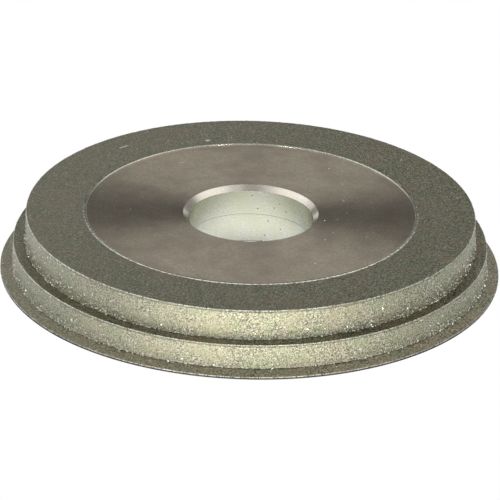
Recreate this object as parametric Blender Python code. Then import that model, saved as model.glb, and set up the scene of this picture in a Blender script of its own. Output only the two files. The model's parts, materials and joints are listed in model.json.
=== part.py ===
"""Stepped diamond grinding wheel: 80 mm across, 10 mm thick, 20 mm bore.

Two turned steel discs are brazed face to face. Each carries a nickel-bonded
diamond layer on its working faces, made here as one ring for each face.
Units are metres. The bore axis is Z, and the back clamping face is at z = 0.
"""

from math import pi, radians

import bmesh
import bpy

MM = 0.001

# Driving sizes of the finished wheel
BORE_R = 10.0 * MM
BORE_CHAMFER = 0.8 * MM
BACK_EDGE_BREAK = 0.25 * MM  # the bore's edge at the back face
BARE_FACE_R = 26.25 * MM  # the turned steel face shows inside this radius
UPPER_R = 36.0 * MM
LOWER_R = 38.0 * MM
LIP_R = 40.0 * MM
THICKNESS = 10.0 * MM
STEP_Z = 5.0 * MM  # the tread where the wheel steps out from upper to lower disc
LIP_ROOT_Z = 1.0 * MM  # where the lower wall meets the lip
LIP_EDGE_Z = 0.5 * MM  # height of the lip at its outer edge
EDGE_BREAK = 0.2 * MM  # worn corner of the diamond layer

# Layers, and the clearance kept between neighbouring pieces
LAYER = 0.5 * MM
LIP_LAYER = 0.25 * MM
BRAZE = 0.2 * MM
GAP = 0.3 * MM

SEGMENTS = 96
SHARP_ANGLE = radians(30)

# Sizes that follow from those above
UPPER_STEEL_R = UPPER_R - LAYER - GAP
LOWER_STEEL_R = LOWER_R - LAYER - GAP
LIP_BAND_R = LIP_R - 1.0 * MM  # outer edge of the band on the lip's upper face
LIP_RING_R = LIP_BAND_R + GAP  # inner edge of the band round the lip's rim
LIP_SLOPE = (LIP_ROOT_Z - LIP_EDGE_Z) / (LIP_R - LOWER_R)
LIP_STEEL_DROP = LIP_LAYER + GAP  # from the lip's upper face down to its steel


def lip_z(radius):
    """Height of the lip's upper face, which slopes down from the wall to the edge."""
    return LIP_ROOT_Z - LIP_SLOPE * max(0.0, radius - LOWER_R)


def finish(name, color, roughness, metallic):
    material = bpy.data.materials.new(name)
    material.use_nodes = True
    shader = material.node_tree.nodes["Principled BSDF"]
    shader.inputs["Base Color"].default_value = (*color, 1.0)
    shader.inputs["Roughness"].default_value = roughness
    shader.inputs["Metallic"].default_value = metallic
    return material


def turned(name, outline, material):
    """Spin a closed outline of (radius, height) points round the bore axis."""
    bm = bmesh.new()
    corners = [bm.verts.new((radius, 0.0, height)) for radius, height in outline]
    edges = [bm.edges.new(pair) for pair in zip(corners, corners[1:] + corners[:1])]
    bmesh.ops.spin(
        bm,
        geom=corners + edges,
        cent=(0.0, 0.0, 0.0),
        axis=(0.0, 0.0, 1.0),
        angle=2 * pi,
        steps=SEGMENTS,
        use_merge=True,
    )
    bmesh.ops.recalc_face_normals(bm, faces=bm.faces)
    mesh = bpy.data.meshes.new(name)
    bm.to_mesh(mesh)
    bm.free()
    mesh.shade_smooth()
    mesh.set_sharp_from_angle(angle=SHARP_ANGLE)
    mesh.materials.append(material)
    ring = bpy.data.objects.new(name, mesh)
    bpy.context.scene.collection.objects.link(ring)
    return ring


def band(inner_r, outer_r, low_z, high_z, corner=0.0):
    """Outline of a plain ring, with its upper outer corner broken by `corner`."""
    outline = [(outer_r, low_z), (inner_r, low_z), (inner_r, high_z)]
    if corner:
        return outline + [(outer_r - corner, high_z), (outer_r, high_z - corner)]
    return outline + [(outer_r, high_z)]


def upper_core(material):
    shoulder_z = THICKNESS - LAYER - GAP
    joint_z = STEP_Z + BRAZE / 2 + GAP
    outline = [
        (BARE_FACE_R - GAP, THICKNESS),
        (BARE_FACE_R - GAP, shoulder_z),
        (UPPER_STEEL_R, shoulder_z),
        (UPPER_STEEL_R, joint_z),
        (BORE_R, joint_z),
        (BORE_R, THICKNESS - BORE_CHAMFER),
        (BORE_R + BORE_CHAMFER, THICKNESS),
    ]
    return turned("upper_core", outline, material)


def lower_core(material):
    joint_z = STEP_Z - BRAZE / 2 - GAP
    shoulder_z = STEP_Z - LAYER - GAP
    lip_steel_z = lip_z(LOWER_R) - LIP_STEEL_DROP
    outline = [
        (UPPER_STEEL_R, joint_z),
        (UPPER_STEEL_R, shoulder_z),
        (LOWER_STEEL_R, shoulder_z),
        (LOWER_STEEL_R, lip_steel_z),
        (LOWER_R, lip_steel_z),
        (LIP_BAND_R, lip_z(LIP_BAND_R) - LIP_STEEL_DROP),
        (LIP_BAND_R, 0.0),
        (BORE_R + BACK_EDGE_BREAK, 0.0),
        (BORE_R, BACK_EDGE_BREAK),
        (BORE_R, joint_z),
    ]
    return turned("lower_core", outline, material)


def joint_braze(material):
    outline = band(BORE_R + GAP, UPPER_STEEL_R, STEP_Z - BRAZE / 2, STEP_Z + BRAZE / 2)
    return turned("joint_braze", outline, material)


def upper_face_grit(material):
    outline = band(BARE_FACE_R, UPPER_R, THICKNESS - LAYER, THICKNESS, EDGE_BREAK)
    return turned("upper_face_grit", outline, material)


def upper_rim_grit(material):
    outline = band(UPPER_R - LAYER, UPPER_R, STEP_Z + GAP, THICKNESS - LAYER - GAP)
    return turned("upper_rim_grit", outline, material)


def step_grit(material):
    outline = band(UPPER_STEEL_R + GAP, LOWER_R, STEP_Z - LAYER, STEP_Z, EDGE_BREAK)
    return turned("step_grit", outline, material)


def lower_rim_grit(material):
    outline = band(LOWER_R - LAYER, LOWER_R, LIP_ROOT_Z + GAP, STEP_Z - LAYER - GAP)
    return turned("lower_rim_grit", outline, material)


def lip_face_grit(material):
    inner_r = LOWER_R - LAYER
    outline = [
        (LIP_BAND_R, lip_z(LIP_BAND_R)),
        (LIP_BAND_R, lip_z(LIP_BAND_R) - LIP_LAYER),
        (LOWER_R, LIP_ROOT_Z - LIP_LAYER),
        (inner_r, LIP_ROOT_Z - LIP_LAYER),
        (inner_r, LIP_ROOT_Z),
        (LOWER_R, LIP_ROOT_Z),
    ]
    return turned("lip_face_grit", outline, material)


def lip_edge_grit(material):
    outline = [
        (LIP_R, LIP_EDGE_Z),
        (LIP_R, 0.0),
        (LIP_RING_R, 0.0),
        (LIP_RING_R, lip_z(LIP_RING_R)),
    ]
    return turned("lip_edge_grit", outline, material)


def build():
    for leftover in list(bpy.data.objects):
        bpy.data.objects.remove(leftover, do_unlink=True)

    upper_core(finish("turned steel, upper disc", (0.24, 0.22, 0.17), 0.34, 1.0))
    lower_core(finish("turned steel, lower disc", (0.30, 0.29, 0.24), 0.38, 1.0))
    joint_braze(finish("silver braze", (0.62, 0.58, 0.42), 0.30, 1.0))

    upper_face_grit(finish("diamond layer, upper face", (0.14, 0.13, 0.09), 0.55, 0.6))
    upper_rim_grit(finish("diamond layer, upper wall", (0.50, 0.47, 0.33), 0.50, 0.6))
    step_grit(finish("diamond layer, step", (0.11, 0.10, 0.06), 0.60, 0.6))
    lower_rim_grit(finish("diamond layer, lower wall", (0.52, 0.49, 0.34), 0.50, 0.6))
    lip_face_grit(finish("diamond layer, lip face", (0.17, 0.15, 0.10), 0.60, 0.6))
    lip_edge_grit(finish("diamond layer, lip edge", (0.38, 0.34, 0.27), 0.55, 0.6))


build()
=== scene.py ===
import json
from math import cos, hypot, pi, radians, sin, tau
from random import Random

import bmesh
import bpy
from mathutils import Matrix, Vector

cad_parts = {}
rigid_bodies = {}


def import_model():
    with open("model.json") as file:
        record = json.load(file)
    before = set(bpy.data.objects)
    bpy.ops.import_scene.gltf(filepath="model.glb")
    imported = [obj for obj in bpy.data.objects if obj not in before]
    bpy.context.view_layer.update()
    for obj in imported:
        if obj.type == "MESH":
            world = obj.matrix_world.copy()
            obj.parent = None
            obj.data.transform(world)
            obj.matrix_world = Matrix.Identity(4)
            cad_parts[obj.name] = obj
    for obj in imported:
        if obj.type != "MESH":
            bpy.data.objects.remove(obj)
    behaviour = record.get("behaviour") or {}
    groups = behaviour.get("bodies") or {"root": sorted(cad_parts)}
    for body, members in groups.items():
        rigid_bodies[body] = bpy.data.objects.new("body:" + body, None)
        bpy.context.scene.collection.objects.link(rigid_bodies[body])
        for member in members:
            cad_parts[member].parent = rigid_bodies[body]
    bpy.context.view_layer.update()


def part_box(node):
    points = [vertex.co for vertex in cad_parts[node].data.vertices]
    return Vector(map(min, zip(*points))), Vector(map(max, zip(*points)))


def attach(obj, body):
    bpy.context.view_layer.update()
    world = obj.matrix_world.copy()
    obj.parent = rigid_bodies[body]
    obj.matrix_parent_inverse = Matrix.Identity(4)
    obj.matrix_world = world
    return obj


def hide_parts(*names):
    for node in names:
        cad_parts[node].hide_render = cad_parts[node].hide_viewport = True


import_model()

MM = 0.001

# --- the wheel's sizes, taken from its frame -------------------------------------------------

FACE_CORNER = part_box("upper_face_grit")[1]
STEP_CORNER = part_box("step_grit")[1]

TOP_Z = FACE_CORNER.z
STEP_Z = STEP_CORNER.z
UPPER_R = FACE_CORNER.x
LOWER_R = STEP_CORNER.x
LIP_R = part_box("lip_edge_grit")[1].x
LIP_EDGE_Z = 0.5 * MM
LIP_ROOT_Z = 1.0 * MM
BORE_R = 10.0 * MM
BORE_CHAMFER = 0.8 * MM
BACK_EDGE_BREAK = 0.25 * MM
BARE_FACE_R = 26.25 * MM

COAT = 0.4 * MM           # how deep the diamond coat is
GRAIN_ROOM = 0.09 * MM    # the bond lies this far under the full size, to leave the grains room
GRAIN_RISE = 0.03 * MM    # how far a blocky grain stands out of the bond
GRAIN_TAPER = 0.03 * MM   # and how far its top is drawn in
OUTER_ROUND = 0.1 * MM    # the plating's worn outer corners, steeper than 45 degrees
OUTER_DROP = 0.06 * MM
BEAD_ENDS = (0.5 * MM, 0.28 * MM)  # the thick bright edge where the plating stops at the bare steel
BEAD_RISE = 0.04 * MM
BEAD_ROUND = 0.07 * MM
BEAD_DROP = 0.03 * MM
BARE_DROP = 0.15 * MM     # the bare steel face lies this far below the top of the coat
# how far the foot of a wall stands out, row by row
FOOT_FLARES = (0.13 * MM, 0.088 * MM, 0.058 * MM, 0.038 * MM, 0.022 * MM, 0.01 * MM)
PIT_INSET = 0.03 * MM
PIT_DEPTH = 0.06 * MM
BRAZE_LINE = 0.05 * MM    # the film between the discs, as it shows in the bore
BRAZE_RECESS = 0.05 * MM  # how far the film stops short of the bore
HAIR = 0.001 * MM

STEEL_TURN = 256          # steps round the steel discs
FACE_TURN = 960           # and round the coat, a grain or so to a step
WALL_TURN = 1440
FACING_RINGS = 180
BORE_ROWS = 26
SMOOTH_BELOW = radians(30)

# shares of the faces chosen at random
FLAT_SHARE = 0.7          # bond left flat between the grains
BRIGHT_SHARE = 0.6        # of a worn corner
DULL_FOOT_SHARE = 0.2
SOUND_SHARE = 0.995       # of the bore wall, with no pit
FLASH_SHARE = 0.5         # of the single crystals' facets

UPPER_WALL_R = UPPER_R - GRAIN_ROOM
LOWER_WALL_R = LOWER_R - GRAIN_ROOM
TREAD_Z = STEP_Z - GRAIN_ROOM
LIP_FOOT_Z = LIP_ROOT_Z - GRAIN_ROOM


# --- hand tools --------------------------------------------------------------------------------

def edit(piece):
    bpy.ops.object.select_all(action="DESELECT")
    piece.select_set(True)
    bpy.context.view_layer.objects.active = piece
    bpy.ops.object.mode_set(mode="EDIT")


def leave():
    bpy.ops.object.mode_set(mode="OBJECT")


def pick(piece, kind, rule):
    """Select the corners, edges or faces in edit mode that the rule holds for."""
    bpy.ops.mesh.select_mode(type=kind)
    bpy.ops.mesh.select_all(action="DESELECT")
    bm = bmesh.from_edit_mesh(piece.data)
    if kind == "VERT":
        chosen = [v for v in bm.verts if rule(v.co)]
    elif kind == "EDGE":
        chosen = [e for e in bm.edges if rule(*(v.co for v in e.verts))]
    else:
        chosen = [f for f in bm.faces if rule(f.calc_center_median(), f.normal)]
    for part in chosen:
        part.select_set(True)
    bm.select_flush_mode()
    bmesh.update_edit_mesh(piece.data)


def reach(place):
    """Distance from the bore axis."""
    return hypot(place.x, place.y)


def near(place, radius, height, slack=0.01 * MM):
    return abs(reach(place) - radius) < slack and abs(place.z - height) < slack


def section(name, inner_r, outer_r, low_z, high_z):
    """The cut face of a ring: a plate standing on the +X radius, left open in edit mode."""
    bpy.ops.object.select_all(action="DESELECT")
    bpy.ops.mesh.primitive_plane_add(
        size=1.0,
        location=((inner_r + outer_r) / 2, 0, (low_z + high_z) / 2),
        rotation=(pi / 2, 0, 0),
    )
    piece = bpy.context.object
    piece.name = piece.data.name = name
    piece.scale = (outer_r - inner_r, high_z - low_z, 1)
    bpy.ops.object.transform_apply(location=True, rotation=True, scale=True)
    edit(piece)
    return piece


def round_corner(piece, radius, height, offset):
    pick(piece, "VERT", lambda place: near(place, radius, height))
    bpy.ops.mesh.bevel(offset=offset, affect="VERTICES")


def divide_edge(piece, rule, cuts):
    pick(piece, "EDGE", rule)
    bpy.ops.mesh.subdivide(number_cuts=cuts)


def turn_round(piece, steps):
    """Turn the open section round the bore axis into a closed ring."""
    bpy.ops.mesh.select_mode(type="VERT")
    bpy.ops.mesh.select_all(action="SELECT")
    bpy.ops.mesh.delete(type="ONLY_FACE")
    leave()
    bpy.ops.object.modifier_add(type="SCREW")
    lathe = piece.modifiers[-1]
    lathe.steps = lathe.render_steps = steps
    lathe.use_merge_vertices = True
    lathe.merge_threshold = 0.001 * MM
    bpy.ops.object.modifier_apply(modifier=lathe.name)
    edit(piece)
    bpy.ops.mesh.select_all(action="SELECT")
    bpy.ops.mesh.normals_make_consistent(inside=False)


def finish_chosen(piece, material):
    """Give the selected faces this finish."""
    if material.name not in piece.data.materials:
        piece.data.materials.append(material)
    piece.active_material_index = piece.data.materials.find(material.name)
    bpy.ops.object.material_slot_assign()


def paint(piece, material, rule):
    """Give the faces that the rule holds for a finish of their own."""
    pick(piece, "FACE", rule)
    finish_chosen(piece, material)


def hand_over(piece, slot, *nodes):
    """Join the piece to the wheel's one body, in place of the nodes it stands for."""
    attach(piece, "root")
    if nodes:
        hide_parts(*nodes)


# --- finishes ----------------------------------------------------------------------------------

# the back left, towards which the bond is painted paler: painted light
LIT_SIDE = (-0.86, 0.5, 0.0)
LIT_SIDE_REACH = 34 * MM
DIAMOND_IOR = 2.4


def new_material(name):
    material = bpy.data.materials.new(name)
    material.use_nodes = True
    tree = material.node_tree
    return material, tree.nodes, tree.links, tree.nodes["Principled BSDF"]


def noise(nodes, links, place, scale, detail=2.0):
    cloud = nodes.new("ShaderNodeTexNoise")
    cloud.inputs["Scale"].default_value = scale
    cloud.inputs["Detail"].default_value = detail
    links.new(place, cloud.inputs["Vector"])
    return cloud.outputs["Fac"]


def blend_colors(nodes, links, factor, first, second, low, high, most=1.0):
    """First colour where the factor is low, second (or `most` of it) where it is high.

    Each is a colour or a link.
    """
    ramp = nodes.new("ShaderNodeMapRange")
    ramp.inputs["From Min"].default_value = low
    ramp.inputs["From Max"].default_value = high
    ramp.inputs["To Max"].default_value = most
    links.new(factor, ramp.inputs["Value"])
    mix = nodes.new("ShaderNodeMix")
    mix.data_type = "RGBA"
    links.new(ramp.outputs["Result"], mix.inputs["Factor"])
    for socket, color in ((mix.inputs["A"], first), (mix.inputs["B"], second)):
        if isinstance(color, tuple):
            socket.default_value = (*color, 1)
        else:
            links.new(color, socket)
    return mix.outputs["Result"]


def bonded_nickel(name, dark, light, warm, cool, lit_side_tone, roughness, mottle=4500.0, metallic=1.0):
    """Nickel plating that holds the grit: mottled at the size of the grains, stained in wide patches.

    It runs paler towards the back left of the wheel: painted light falling from that side.
    """
    material, nodes, links, shader = new_material(name)
    place = nodes.new("ShaderNodeTexCoord").outputs["Object"]
    grainy = noise(nodes, links, place, mottle, 3.0)
    mottled = blend_colors(nodes, links, grainy, dark, light, 0.4, 0.6)
    warm_patches = noise(nodes, links, place, 230.0, 4.0)
    warmed = blend_colors(nodes, links, warm_patches, mottled, warm, 0.46, 0.66, 0.45)
    cool_patches = noise(nodes, links, place, 410.0, 4.0)
    cooled = blend_colors(nodes, links, cool_patches, warmed, cool, 0.46, 0.66, 0.45)
    across = nodes.new("ShaderNodeVectorMath")
    across.operation = "DOT_PRODUCT"
    across.inputs[1].default_value = LIT_SIDE
    links.new(place, across.inputs[0])
    # painted light: paler towards the back left
    lit_side_toned = blend_colors(
        nodes, links, across.outputs["Value"], cooled, lit_side_tone, -LIT_SIDE_REACH, LIT_SIDE_REACH, 0.35)
    links.new(lit_side_toned, shader.inputs["Base Color"])
    shader.inputs["Metallic"].default_value = metallic
    shader.inputs["Roughness"].default_value = roughness
    return material


def grain_colors(nodes, links, dark, light):
    """A colour of its own for each grain."""
    place = nodes.new("ShaderNodeTexCoord").outputs["Object"]
    cells = nodes.new("ShaderNodeTexVoronoi")
    cells.inputs["Scale"].default_value = 4500.0
    links.new(place, cells.inputs["Vector"])
    return blend_colors(nodes, links, cells.outputs["Color"], dark, light, 0.2, 0.8)


def diamond_grain(name, dark, light, roughness):
    """Synthetic diamond, yellow-green and half sunk in its bond."""
    material, nodes, links, shader = new_material(name)
    links.new(grain_colors(nodes, links, dark, light), shader.inputs["Base Color"])
    shader.inputs["Roughness"].default_value = roughness
    shader.inputs["IOR"].default_value = DIAMOND_IOR
    return material


def bright_facet(name, dark, light, roughness):
    """A grain's clean flat face, which flashes like a mirror."""
    material, nodes, links, shader = new_material(name)
    links.new(grain_colors(nodes, links, dark, light), shader.inputs["Base Color"])
    shader.inputs["Metallic"].default_value = 1.0
    shader.inputs["Roughness"].default_value = roughness
    return material


def turned_steel(name, along, dark, light, stain, roughness, spread):
    """Steel cut on a lathe: fine lines that follow the tool, across `along`, and stained patches."""
    material, nodes, links, shader = new_material(name)
    place = nodes.new("ShaderNodeTexCoord").outputs["Object"]
    if along == "radius":
        flat = nodes.new("ShaderNodeVectorMath")
        flat.operation = "MULTIPLY"
        flat.inputs[1].default_value = (1, 1, 0)
        links.new(place, flat.inputs[0])
        reach = nodes.new("ShaderNodeVectorMath")
        reach.operation = "LENGTH"
        links.new(flat.outputs["Vector"], reach.inputs[0])
        travel = reach.outputs["Value"]
    else:
        split = nodes.new("ShaderNodeSeparateXYZ")
        links.new(place, split.inputs["Vector"])
        travel = split.outputs["Z"]
    lines = nodes.new("ShaderNodeTexNoise")
    lines.noise_dimensions = "1D"
    lines.inputs["Scale"].default_value = 6000.0
    lines.inputs["Detail"].default_value = 4.0
    links.new(travel, lines.inputs["W"])
    lined = blend_colors(nodes, links, lines.outputs["Fac"], dark, light, 0.25, 0.75)
    specks = noise(nodes, links, place, 2600.0, 3.0)
    specked = blend_colors(nodes, links, specks, lined, dark, 0.4, 0.65, 0.8)
    clouds = noise(nodes, links, place, 300.0, 3.0)
    cloudy = blend_colors(nodes, links, clouds, specked, dark, 0.45, 0.9, 0.8)
    stains = noise(nodes, links, place, 150.0, 3.0)
    stained = blend_colors(nodes, links, stains, cloudy, stain, 0.42, 0.66, 0.6)
    links.new(stained, shader.inputs["Base Color"])
    bump = nodes.new("ShaderNodeBump")
    bump.inputs["Strength"].default_value = 0.12
    bump.inputs["Distance"].default_value = 0.00001
    links.new(lines.outputs["Fac"], bump.inputs["Height"])
    links.new(bump.outputs["Normal"], shader.inputs["Normal"])
    shader.inputs["Metallic"].default_value = 1.0
    shader.inputs["Roughness"].default_value = roughness
    shader.inputs["Anisotropic"].default_value = spread
    shader.inputs["Anisotropic Rotation"].default_value = 0.25
    return material


# one nickel bond in lit and shaded copies; the face's copy is darker: painted shade
FACE_BOND = bonded_nickel(
    "face bond",
    dark=(0.11, 0.107, 0.067), light=(0.27, 0.265, 0.19), warm=(0.28, 0.2, 0.14),
    cool=(0.14, 0.185, 0.095), lit_side_tone=(0.35, 0.335, 0.255), roughness=0.5, mottle=3200.0)
# the walls' copy is lighter: painted light
WALL_BOND = bonded_nickel(
    "wall bond",
    dark=(0.16, 0.16, 0.1), light=(0.66, 0.65, 0.5), warm=(0.52, 0.45, 0.32),
    cool=(0.39, 0.44, 0.27), lit_side_tone=(0.5, 0.5, 0.42), roughness=0.42)
# the tread's copy is darkest: painted shade under the upper wall
SHADED_TREAD_BOND = bonded_nickel(
    "shaded tread bond",
    dark=(0.03, 0.027, 0.013), light=(0.38, 0.355, 0.25), warm=(0.3, 0.23, 0.14),
    cool=(0.17, 0.19, 0.11), lit_side_tone=(0.28, 0.28, 0.21), roughness=0.3, mottle=3200.0)
# the lip's copy is dark and barely metallic: painted shade
LIP_BOND = bonded_nickel(
    "lip bond",
    dark=(0.08, 0.075, 0.042), light=(0.46, 0.425, 0.29), warm=(0.36, 0.285, 0.175),
    cool=(0.24, 0.25, 0.15), lit_side_tone=(0.25, 0.25, 0.18), roughness=0.45, mottle=3200.0, metallic=0.05)
# bright nickel: wear on the rub marks; wear and a painted highlight on the worn corners; a painted
# highlight at the wall feet and along the lip's rim
WEAR_AND_HIGHLIGHT_NICKEL = bonded_nickel(
    "worn nickel and painted highlight",
    dark=(0.7, 0.68, 0.6), light=(1.0, 0.98, 0.91), warm=(0.4, 0.36, 0.28),
    cool=(0.5, 0.52, 0.41), lit_side_tone=(0.95, 0.94, 0.88), roughness=0.3)
BEAD_NICKEL = bonded_nickel(
    "bead nickel",
    dark=(0.5, 0.48, 0.38), light=(0.95, 0.93, 0.83), warm=(0.4, 0.36, 0.28),
    cool=(0.5, 0.52, 0.41), lit_side_tone=(0.8, 0.79, 0.7), roughness=0.19)
# near black for the lower part of the lip's rim: painted shade
LIP_RIM_SHADE = bonded_nickel(
    "painted rim shade",
    dark=(0.03, 0.03, 0.03), light=(0.12, 0.12, 0.11), warm=(0.1, 0.08, 0.06),
    cool=(0.06, 0.07, 0.06), lit_side_tone=(0.1, 0.1, 0.1), roughness=0.4)
# the one diamond grit in lit and shaded copies: darker on the face, tread and lip, painted shade; lighter
# on the walls, painted light
FACE_GRAIN = diamond_grain(
    "shaded flat diamond", dark=(0.04, 0.04, 0.02), light=(0.3, 0.29, 0.215), roughness=0.35)
SHADED_TREAD_GRAIN = diamond_grain(
    "shaded tread diamond", dark=(0.015, 0.013, 0.005), light=(0.26, 0.25, 0.17), roughness=0.3)
WALL_GRAIN = diamond_grain(
    "wall diamond", dark=(0.04, 0.045, 0.015), light=(0.85, 0.83, 0.64), roughness=0.2)
CLEAR_GRAIN = diamond_grain(
    "clear diamond", dark=(0.7, 0.7, 0.58), light=(1.0, 1.0, 0.95), roughness=0.12)
FLASH = bright_facet(
    "bright facet", dark=(0.6, 0.6, 0.48), light=(1.0, 0.99, 0.92), roughness=0.2)
FACED_STEEL = turned_steel(
    "faced steel", "radius",
    dark=(0.38, 0.335, 0.255), light=(0.66, 0.595, 0.46), stain=(0.35, 0.285, 0.23),
    roughness=0.3, spread=0.85)
# the bore's steel is lighter than the face's: a tone of its own, and painted light as well
BORED_STEEL = turned_steel(
    "bored steel", "height",
    dark=(0.58, 0.59, 0.52), light=(0.81, 0.81, 0.75), stain=(0.64, 0.64, 0.46),
    roughness=0.25, spread=0.5)
# the chamfer's steel is near white: a fresh cut, and a painted highlight too
CHAMFER_STEEL = turned_steel(
    "chamfer cut", "height",
    dark=(0.82, 0.755, 0.66), light=(1.0, 0.95, 0.86), stain=(0.85, 0.79, 0.69),
    roughness=0.22, spread=0.7)
# dark steel: real rust pits in the bore, and painted shade on the back chamfer at the bore's foot
PITS_AND_SHADE_STEEL = turned_steel(
    "rust pits", "height",
    dark=(0.3, 0.3, 0.22), light=(0.45, 0.44, 0.34), stain=(0.3, 0.27, 0.18),
    roughness=0.6, spread=0.0)
BRAZE_FILM = turned_steel(
    "braze film", "radius",
    dark=(0.3, 0.28, 0.2), light=(0.45, 0.42, 0.3), stain=(0.3, 0.26, 0.17),
    roughness=0.5, spread=0.0)


# --- the diamond coat --------------------------------------------------------------------------

def coat_with_grit(
        piece, steps, seed, works, loose, bond, grain, tilt, flashes, flash_tilt=0.0):
    """Turn a coat's section, then raise blocky grains out of its working face.

    works(place, normal) holds for the faces that carry grit, loose(place) for the corners
    that may move out of line, which leaves the seams with the next coat true. A share of the
    grains, `flashes`, shows a clean bright facet.
    """
    turn_round(piece, steps)
    piece.data.materials.append(bond)
    pick(piece, "VERT", loose)
    bpy.ops.transform.vertex_random(offset=tilt, uniform=0, normal=0, seed=seed)
    pick(piece, "FACE", works)
    bpy.ops.mesh.select_random(ratio=FLAT_SHARE, seed=seed, action="DESELECT")
    bpy.ops.mesh.inset(thickness=GRAIN_TAPER, depth=GRAIN_RISE, use_individual=True)
    bpy.ops.transform.vertex_random(offset=tilt / 2, uniform=0, normal=0, seed=seed + 1)
    finish_chosen(piece, grain)
    bpy.ops.mesh.select_random(ratio=1 - flashes, seed=seed + 2, action="DESELECT")
    bpy.ops.transform.vertex_random(offset=flash_tilt, uniform=0, normal=0, seed=seed + 3)
    finish_chosen(piece, FLASH)


def wear_corner(piece, radius, height):
    round_corner(piece, radius, height, OUTER_ROUND)
    pick(piece, "VERT", lambda place: near(place, radius, height - OUTER_ROUND))
    bpy.ops.transform.translate(value=(0, 0, -OUTER_DROP))


def worn(place, radius, height):
    """Whether a face lies on the worn corner of a coat."""
    return radius - 0.8 * OUTER_ROUND < reach(place) < radius and \
        height - OUTER_ROUND - OUTER_DROP < place.z < height - 0.2 * OUTER_ROUND


def dull_some(piece, finish, seed):
    """Give some of the selected bright faces a duller finish."""
    bpy.ops.mesh.select_random(ratio=BRIGHT_SHARE, seed=seed, action="DESELECT")
    finish_chosen(piece, finish)


def flare_foot(piece, wall_r, foot_z, row):
    """Fill the corner where a wall meets the flat below it, as plating builds up there."""
    for number, flare in enumerate(FOOT_FLARES):
        pick(piece, "VERT", lambda place: near(place, wall_r, foot_z + number * row))
        bpy.ops.transform.translate(value=(flare, 0, 0))


def brighten_foot(piece, foot_z, row, seed):
    """Paint a highlight of bright nickel along the lowest row of a wall, with a few dull gaps."""
    pick(piece, "FACE", lambda place, normal: normal.z > 0.15 and place.z < foot_z + row)
    bpy.ops.mesh.select_random(ratio=DULL_FOOT_SHARE, seed=seed, action="DESELECT")
    finish_chosen(piece, WEAR_AND_HIGHLIGHT_NICKEL)


def scuff(piece, angle, radius, length):
    """A short rub mark on the face, where the nickel shines."""
    turn = Matrix.Rotation(radians(-angle), 3, "Z")

    def rubbed(place, normal):
        out = turn @ place
        return place.z > TOP_Z - COAT / 2 and abs(out.x - radius) < 0.2 * MM and abs(out.y) < length / 2

    paint(piece, WEAR_AND_HIGHLIGHT_NICKEL, rubbed)


def upper_face_coat():
    top = TOP_Z - GRAIN_ROOM
    seam = TOP_Z - COAT
    bead_end = BARE_FACE_R + BEAD_ENDS[0]
    piece = section("upper_face_coat", BARE_FACE_R, UPPER_WALL_R, seam, top)
    wear_corner(piece, UPPER_WALL_R, top)
    round_corner(piece, BARE_FACE_R, top, BEAD_ROUND)
    pick(piece, "VERT", lambda place: near(place, BARE_FACE_R, top - BEAD_ROUND))
    bpy.ops.transform.translate(value=(0, 0, -BEAD_DROP))
    divide_edge(piece, lambda a, b: a.z > top - HAIR and b.z > top - HAIR, 40)
    for width in BEAD_ENDS:
        pick(piece, "VERT", lambda place: place.x < BARE_FACE_R + width and place.z > seam + HAIR)
        bpy.ops.transform.translate(value=(0, 0, BEAD_RISE))
    coat_with_grit(
        piece, FACE_TURN, 5,
        lambda place, normal: place.z > top - OUTER_ROUND and reach(place) > bead_end,
        lambda place: place.z > seam + HAIR and reach(place) > bead_end,
        FACE_BOND, FACE_GRAIN, 0.03 * MM, 0.02,
    )
    paint(piece, BEAD_NICKEL, lambda place, normal: reach(place) < bead_end)
    for angle, radius, length in ((131, 32.0 * MM, 1.9 * MM), (105, 28.4 * MM, 0.7 * MM)):
        scuff(piece, angle, radius, length)
    # the coat's outer side takes the walls' lighter copy: painted light
    paint(piece, WALL_BOND, lambda place, normal: reach(place) > UPPER_WALL_R - 0.2 * OUTER_ROUND)
    # the worn corner in bright nickel: wear, and a painted highlight along the edge
    paint(piece, WEAR_AND_HIGHLIGHT_NICKEL, lambda place, normal: worn(place, UPPER_WALL_R, top))
    dull_some(piece, WALL_BOND, 8)
    leave()
    hand_over(piece, "diamond_face", "upper_face_grit")


def wall_coat(name, full_r, foot_z, top, rows, seed, node):
    """A ring of coat round a wall, flared and bright at its foot."""
    wall_r = full_r - GRAIN_ROOM
    row = (top - foot_z) / rows
    piece = section(name, full_r - COAT, wall_r, foot_z, top)
    divide_edge(piece, lambda a, b: min(a.x, b.x) > wall_r - HAIR, rows - 1)
    flare_foot(piece, wall_r, foot_z, row)
    coat_with_grit(
        piece, WALL_TURN, seed,
        lambda place, normal: reach(place) > wall_r - HAIR,
        lambda place: reach(place) > wall_r - HAIR and foot_z + 1.5 * row < place.z < top - HAIR,
        WALL_BOND, WALL_GRAIN, 0.04 * MM, 0.2, 0.05 * MM,
    )
    brighten_foot(piece, foot_z, row, seed + 2)
    leave()
    hand_over(piece, "diamond_wall", node)


def step_coat():
    seam = STEP_Z - COAT
    piece = section("step_coat", UPPER_R - COAT, LOWER_WALL_R, seam, TREAD_Z)
    wear_corner(piece, LOWER_WALL_R, TREAD_Z)
    divide_edge(piece, lambda a, b: a.z > TREAD_Z - HAIR and b.z > TREAD_Z - HAIR, 14)
    coat_with_grit(
        piece, WALL_TURN, 25,
        lambda place, normal: place.z > TREAD_Z - OUTER_ROUND,
        lambda place: place.z > seam + HAIR,
        SHADED_TREAD_BOND, SHADED_TREAD_GRAIN, 0.012 * MM, 0.02,
    )
    # the coat's outer side takes the walls' lighter copy: painted light
    paint(piece, WALL_BOND, lambda place, normal: reach(place) > LOWER_WALL_R - 0.2 * OUTER_ROUND)
    # the worn corner in bright nickel: wear, and a painted highlight along the edge
    paint(piece, WEAR_AND_HIGHLIGHT_NICKEL, lambda place, normal: worn(place, LOWER_WALL_R, TREAD_Z))
    dull_some(piece, WALL_BOND, 28)
    leave()
    hand_over(piece, "diamond_face", "step_grit")


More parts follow.
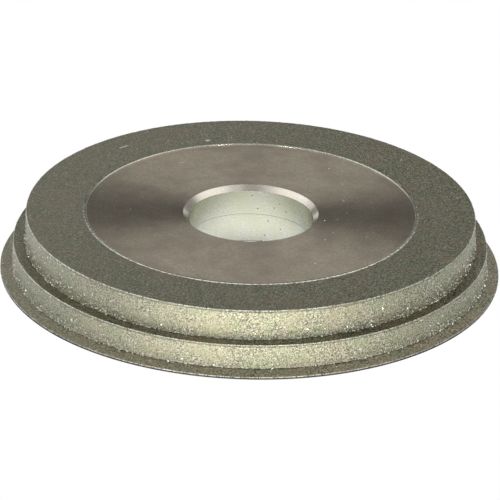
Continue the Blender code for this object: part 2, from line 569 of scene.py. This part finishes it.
def lip_coat():
    """The lip is thin enough to be coat all through."""
    outer = LIP_R - GRAIN_ROOM
    edge = LIP_EDGE_Z - GRAIN_ROOM
    piece = section("lip_coat", LOWER_R - COAT, outer, 0, LIP_FOOT_Z)
    pick(piece, "VERT", lambda place: near(place, outer, LIP_FOOT_Z))
    bpy.ops.transform.translate(value=(0, 0, edge - LIP_FOOT_Z))
    divide_edge(piece, lambda a, b: abs(a.x - b.x) > 1.0 * MM and max(a.z, b.z) > edge, 16)
    divide_edge(piece, lambda a, b: min(a.x, b.x) > outer - HAIR, 2)
    coat_with_grit(
        piece, WALL_TURN, 45,
        lambda place, normal: place.z > HAIR and reach(place) > LOWER_WALL_R,
        lambda place: place.z > HAIR and reach(place) > LOWER_WALL_R,
        LIP_BOND, FACE_GRAIN, 0.012 * MM, 0.05,
    )
    # the lip's rim is painted: a highlight along its top, shade below
    rim = outer - 0.05 * MM
    highlight_z = 0.7 * edge
    paint(piece, LIP_RIM_SHADE, lambda place, normal: reach(place) > rim and place.z < highlight_z)
    paint(piece, WEAR_AND_HIGHLIGHT_NICKEL, lambda place, normal: reach(place) > rim and place.z > highlight_z)
    dull_some(piece, LIP_BOND, 48)
    leave()
    hand_over(piece, "diamond_face", "lip_face_grit", "lip_edge_grit")


def crystal_bed(chance, count, inner, outer, height, spread, biggest):
    """Crystals scattered between two radii, and up a wall as far as they spread."""
    lip_fall = (LIP_ROOT_Z - LIP_EDGE_Z) / (LIP_R - LOWER_R)
    bpy.ops.object.select_all(action="DESELECT")
    for made in range(count):
        radius = chance.uniform(inner, outer)
        angle = chance.uniform(0, tau)
        rise = min(chance.expovariate(1 / spread), 3 * spread) if spread else 0
        sink = lip_fall * max(0, radius - LOWER_R)
        bpy.ops.mesh.primitive_cube_add(
            size=chance.uniform(0.1 * MM, biggest),
            location=(radius * cos(angle), radius * sin(angle), height + rise - sink),
            rotation=[chance.uniform(0, tau) for _ in range(3)],
        )
        if made == 0:
            bed = bpy.context.object
            bpy.ops.object.transform_apply(location=True, rotation=True, scale=True)
            edit(bed)
    bpy.ops.mesh.select_all(action="SELECT")
    bpy.ops.mesh.bevel(offset=0.03 * MM, affect="VERTICES")
    leave()
    return bed


def stray_crystals():
    """Single crystals caught in the plating: a row along the foot of each wall, others scattered."""
    chance = Random(7)
    tread_row = TREAD_Z + 0.05 * MM
    lip_row = LIP_FOOT_Z + 0.05 * MM
    lip_bed = LIP_FOOT_Z - 0.04 * MM
    face_bed = TOP_Z - 0.16 * MM
    bare_bed = TOP_Z - BARE_DROP - 0.04 * MM
    # how many, between which radii, how high, how far up the wall, the biggest
    rows = (
        (420, UPPER_WALL_R + 0.05 * MM, UPPER_WALL_R + 0.25 * MM, tread_row, 0.1 * MM, 0.23 * MM),
        (950, UPPER_WALL_R, UPPER_WALL_R, TREAD_Z + 0.3 * MM, 1.4 * MM, 0.23 * MM),
        (420, LOWER_WALL_R + 0.05 * MM, LOWER_WALL_R + 0.25 * MM, lip_row, 0.1 * MM, 0.23 * MM),
        (750, LOWER_WALL_R, LOWER_WALL_R, LIP_FOOT_Z + 0.3 * MM, 1.1 * MM, 0.23 * MM),
        (90, LOWER_R, LIP_R - 0.3 * MM, lip_bed, 0, 0.17 * MM),
        (60, BARE_FACE_R + 1.0 * MM, UPPER_R - 0.5 * MM, face_bed, 0, 0.18 * MM),
        (50, BORE_R + 2.0 * MM, BARE_FACE_R - 0.5 * MM, bare_bed, 0, 0.15 * MM),
    )
    beds = [crystal_bed(chance, *row) for row in rows]
    for bed in beds:
        bed.select_set(True)
    bpy.ops.object.join()
    piece = bpy.context.object
    piece.name = piece.data.name = "stray_crystals"
    piece.data.materials.append(CLEAR_GRAIN)
    edit(piece)
    bpy.ops.mesh.select_all(action="SELECT")
    bpy.ops.mesh.select_random(ratio=1 - FLASH_SHARE, seed=57, action="DESELECT")
    finish_chosen(piece, FLASH)
    leave()
    hand_over(piece, "diamond_wall")


# --- the steel discs -----------------------------------------------------------------------------

def cut_tool_marks(piece, height, start, pitch):
    """Press fine rings into the bare face, as a facing tool leaves them."""
    for every, depth in ((3, 0.0015 * MM), (7, 0.0015 * MM), (17, 0.002 * MM)):
        pick(piece, "VERT", lambda place: abs(place.z - height) < 2 * HAIR
             and round((place.x - start) / pitch) % every == 1)
        bpy.ops.transform.translate(value=(0, 0, -depth))


def widen_foot(piece, edge_r, low_z, high_z, shoulder_z, outer_r):
    """Extend the part of the section that lies below the shoulder, out to a wider radius."""
    middle_z = (low_z + high_z) / 2
    divide_edge(piece, lambda a, b: min(a.x, b.x) > edge_r - HAIR, 1)
    pick(piece, "VERT", lambda place: near(place, edge_r, middle_z))
    bpy.ops.transform.translate(value=(0, 0, shoulder_z - middle_z))
    pick(piece, "EDGE", lambda a, b: min(a.x, b.x) > edge_r - HAIR and max(a.z, b.z) < shoulder_z + HAIR)
    bpy.ops.mesh.extrude_region_move(TRANSFORM_OT_translate={"value": (outer_r - edge_r, 0, 0)})
    pick(piece, "EDGE", lambda a, b: abs(a.x - edge_r) < HAIR and abs(b.x - edge_r) < HAIR
         and max(a.z, b.z) < shoulder_z + HAIR)
    bpy.ops.mesh.dissolve_edges(use_verts=False)


def turn_steel(piece):
    """Turn a disc's section, with the bore wall in rows."""
    divide_edge(piece, lambda a, b: max(a.x, b.x) < BORE_R + HAIR, BORE_ROWS)
    turn_round(piece, STEEL_TURN)
    piece.data.materials.append(FACED_STEEL)
    paint(piece, BORED_STEEL, lambda place, normal: reach(place) < BORE_R + HAIR)


def smooth(piece):
    leave()
    bpy.ops.object.shade_smooth_by_angle(angle=SMOOTH_BELOW)


def upper_disc():
    top = TOP_Z - BARE_DROP
    inner = BORE_R + BORE_CHAMFER
    piece = section("upper_disc", BORE_R, BARE_FACE_R, STEP_Z, top)
    widen_foot(piece, BARE_FACE_R, STEP_Z, top, TOP_Z - COAT, UPPER_R - COAT)
    round_corner(piece, BORE_R, top, BORE_CHAMFER)
    divide_edge(piece, lambda a, b: min(a.z, b.z) > top - HAIR, FACING_RINGS)
    cut_tool_marks(piece, top, inner, (BARE_FACE_R - inner) / (FACING_RINGS + 1))
    turn_steel(piece)
    # the chamfer takes the near-white steel, partly a painted highlight
    paint(piece, CHAMFER_STEEL, lambda place, normal: BORE_R + HAIR < reach(place) < inner - HAIR
          and normal.z > 0.3)
    pit_the_bore(piece, 3)
    smooth(piece)
    hand_over(piece, "turned_steel", "upper_core")


def pit_the_bore(piece, seed):
    """Small rust pits, sunk into one side of the bore wall."""
    pick(piece, "FACE", lambda place, normal: reach(place) < BORE_R and abs(normal.z) < 0.1 and place.x > 0)
    bpy.ops.mesh.select_random(ratio=SOUND_SHARE, seed=seed, action="DESELECT")
    bpy.ops.mesh.inset(thickness=PIT_INSET, depth=-PIT_DEPTH, use_individual=True)
    finish_chosen(piece, PITS_AND_SHADE_STEEL)


def braze_film():
    piece = section("braze_film", BORE_R + BRAZE_RECESS, UPPER_R - COAT, STEP_Z - BRAZE_LINE, STEP_Z)
    turn_round(piece, STEEL_TURN)
    piece.data.materials.append(BRAZE_FILM)
    smooth(piece)
    hand_over(piece, "silver_braze", "joint_braze")


def lower_disc():
    top = STEP_Z - BRAZE_LINE
    core_r = UPPER_R - COAT
    piece = section("lower_disc", BORE_R, core_r, 0, top)
    widen_foot(piece, core_r, 0, top, STEP_Z - COAT, LOWER_R - COAT)
    round_corner(piece, BORE_R, 0, BACK_EDGE_BREAK)
    turn_steel(piece)
    pit_the_bore(piece, 4)
    # painted shade: the downward-facing back chamfer at the foot of the bore takes the dark pit finish
    paint(piece, PITS_AND_SHADE_STEEL, lambda place, normal: reach(place) < BORE_R + BACK_EDGE_BREAK
          and normal.z < -0.3 and place.z > HAIR)
    smooth(piece)
    hand_over(piece, "turned_steel", "lower_core")


# --- studio --------------------------------------------------------------------------------------

TABLE_GLOW = (0.42, 0.43, 0.45)
POOL_GLOW = (2.32, 2.22, 2.0)
BORE_GLOW = (1.0, 1.0, 1.0)
POOL_AWAY = 75 * MM
POOL_REACH = 67 * MM
# (height, brightness) of the room, from the horizon at 0 to straight up at 1
BEHIND = (
    (0.0, 1.3), (0.13, 1.2), (0.19, 0.07), (0.46, 0.07),
    (0.56, 1.05), (0.85, 1.05), (0.9, 0.07), (1.0, 0.07))
BESIDE = (
    (0.0, 0.35), (0.08, 0.3), (0.17, 0.22), (0.44, 0.22),
    (0.56, 1.05), (0.85, 1.05), (0.9, 0.07), (1.0, 0.07))


def camera():
    elevation = radians(24.95)
    distance = 0.944
    roll = radians(1.46)
    aim = Vector((0.00002, -0.00258, 0.00446))
    seat = Vector((0, 0, TOP_Z)) + distance * Vector((0, -cos(elevation), sin(elevation)))
    bpy.ops.object.camera_add(location=seat)
    view = bpy.context.object
    turn = (aim - seat).to_track_quat("-Z", "Y").to_matrix() @ Matrix.Rotation(roll, 3, "Z")
    view.rotation_euler = turn.to_euler()
    view.data.sensor_width = 36.0
    view.data.lens = 425.6
    view.data.clip_start = 0.01
    bpy.context.scene.camera = view


def table():
    """White to the camera; in reflections grey, with a pool of light before and behind the wheel."""
    bpy.ops.object.select_all(action="DESELECT")
    bpy.ops.mesh.primitive_circle_add(vertices=96, radius=4.0, fill_type="NGON")
    floor = bpy.context.object
    floor.name = "table"
    material, nodes, links, shader = new_material("white table")
    shader.inputs["Base Color"].default_value = (0.5, 0.5, 0.5, 1)
    shader.inputs["Roughness"].default_value = 0.9
    shader.inputs["Emission Strength"].default_value = 1.0
    place = nodes.new("ShaderNodeTexCoord").outputs["Object"]
    centre = nodes.new("ShaderNodeVectorMath")
    centre.operation = "LENGTH"
    links.new(place, centre.inputs[0])
    mirrored = nodes.new("ShaderNodeVectorMath")
    mirrored.operation = "ABSOLUTE"
    links.new(place, mirrored.inputs[0])
    away = nodes.new("ShaderNodeVectorMath")
    away.operation = "DISTANCE"
    away.inputs[1].default_value = (0, POOL_AWAY, 0)
    links.new(mirrored.outputs["Vector"], away.inputs[0])
    pool = nodes.new("ShaderNodeMapRange")
    pool.interpolation_type = "SMOOTHSTEP"
    pool.inputs["From Max"].default_value = POOL_REACH
    links.new(away.outputs["Value"], pool.inputs["Value"])
    pooled = blend_colors(nodes, links, pool.outputs["Result"], POOL_GLOW, TABLE_GLOW, 0.0, 1.0)
    glow = blend_colors(
        nodes, links, centre.outputs["Value"], BORE_GLOW, pooled, 0.4 * BORE_R, BORE_R)
    links.new(glow, shader.inputs["Emission Color"])
    white = nodes.new("ShaderNodeEmission")
    path = nodes.new("ShaderNodeLightPath")
    mix = nodes.new("ShaderNodeMixShader")
    links.new(path.outputs["Is Camera Ray"], mix.inputs["Fac"])
    links.new(shader.outputs["BSDF"], mix.inputs[1])
    links.new(white.outputs["Emission"], mix.inputs[2])
    links.new(mix.outputs["Shader"], nodes["Material Output"].inputs["Surface"])
    floor.data.materials.append(material)


def room_levels(nodes, links, height, steps):
    """Brightness of the room at each height."""
    ramp = nodes.new("ShaderNodeValToRGB")
    stops = ramp.color_ramp.elements
    stops[0].position, stops[1].position = steps[0][0], steps[-1][0]
    for height_at, _ in steps[1:-1]:
        stops.new(height_at)
    for stop, (_, level) in zip(stops, steps):
        stop.color = (level, level, level, 1)
    links.new(height, ramp.inputs["Fac"])
    return ramp.outputs["Color"]


def surroundings():
    """White to the camera; in reflections a bright ring of ceiling over a dim band."""
    world = bpy.data.worlds.new("studio")
    bpy.context.scene.world = world
    world.use_nodes = True
    nodes, links = world.node_tree.nodes, world.node_tree.links
    split = nodes.new("ShaderNodeSeparateXYZ")
    links.new(nodes.new("ShaderNodeTexCoord").outputs["Generated"], split.inputs["Vector"])
    height = split.outputs["Z"]
    behind = room_levels(nodes, links, height, BEHIND)
    beside = room_levels(nodes, links, height, BESIDE)
    across = nodes.new("ShaderNodeMath")
    across.operation = "ABSOLUTE"
    links.new(split.outputs["X"], across.inputs[0])
    room = nodes["Background"]
    levels = blend_colors(nodes, links, across.outputs["Value"], behind, beside, 0.35, 0.55)
    links.new(levels, room.inputs["Color"])
    white = nodes.new("ShaderNodeBackground")
    white.inputs["Color"].default_value = (1, 1, 1, 1)
    path = nodes.new("ShaderNodeLightPath")
    mix = nodes.new("ShaderNodeMixShader")
    links.new(path.outputs["Is Camera Ray"], mix.inputs["Fac"])
    links.new(room.outputs["Background"], mix.inputs[1])
    links.new(white.outputs["Background"], mix.inputs[2])
    links.new(mix.outputs["Shader"], nodes["World Output"].inputs["Surface"])


def softbox(name, azimuth, elevation, distance, size, power):
    """A square lamp aimed at the wheel; azimuth 0 is the camera's side."""
    turn, lift = radians(azimuth), radians(elevation)
    place = distance * Vector((cos(lift) * sin(turn), -cos(lift) * cos(turn), sin(lift)))
    bpy.ops.object.light_add(type="AREA", location=place)
    lamp = bpy.context.object
    lamp.name = name
    lamp.data.size = size
    lamp.data.energy = power
    lamp.visible_camera = False
    lamp.rotation_euler = (-place).to_track_quat("-Z", "Y").to_euler()


upper_disc()
braze_film()
lower_disc()
upper_face_coat()
wall_coat("upper_rim_coat", UPPER_R, TREAD_Z, TOP_Z - COAT, 27, 15, "upper_rim_grit")
step_coat()
wall_coat("lower_rim_coat", LOWER_R, LIP_FOOT_Z, STEP_Z - COAT, 22, 35, "lower_rim_grit")
lip_coat()
stray_crystals()

camera()
table()
surroundings()
softbox("left lamp", azimuth=-28, elevation=36, distance=0.8, size=0.08, power=0.5)
softbox("right lamp", azimuth=24, elevation=40, distance=0.8, size=0.08, power=0.5)
softbox("side lamp", azimuth=-115, elevation=12, distance=0.8, size=0.6, power=0.5)
bpy.context.scene.view_settings.view_transform = "Standard"
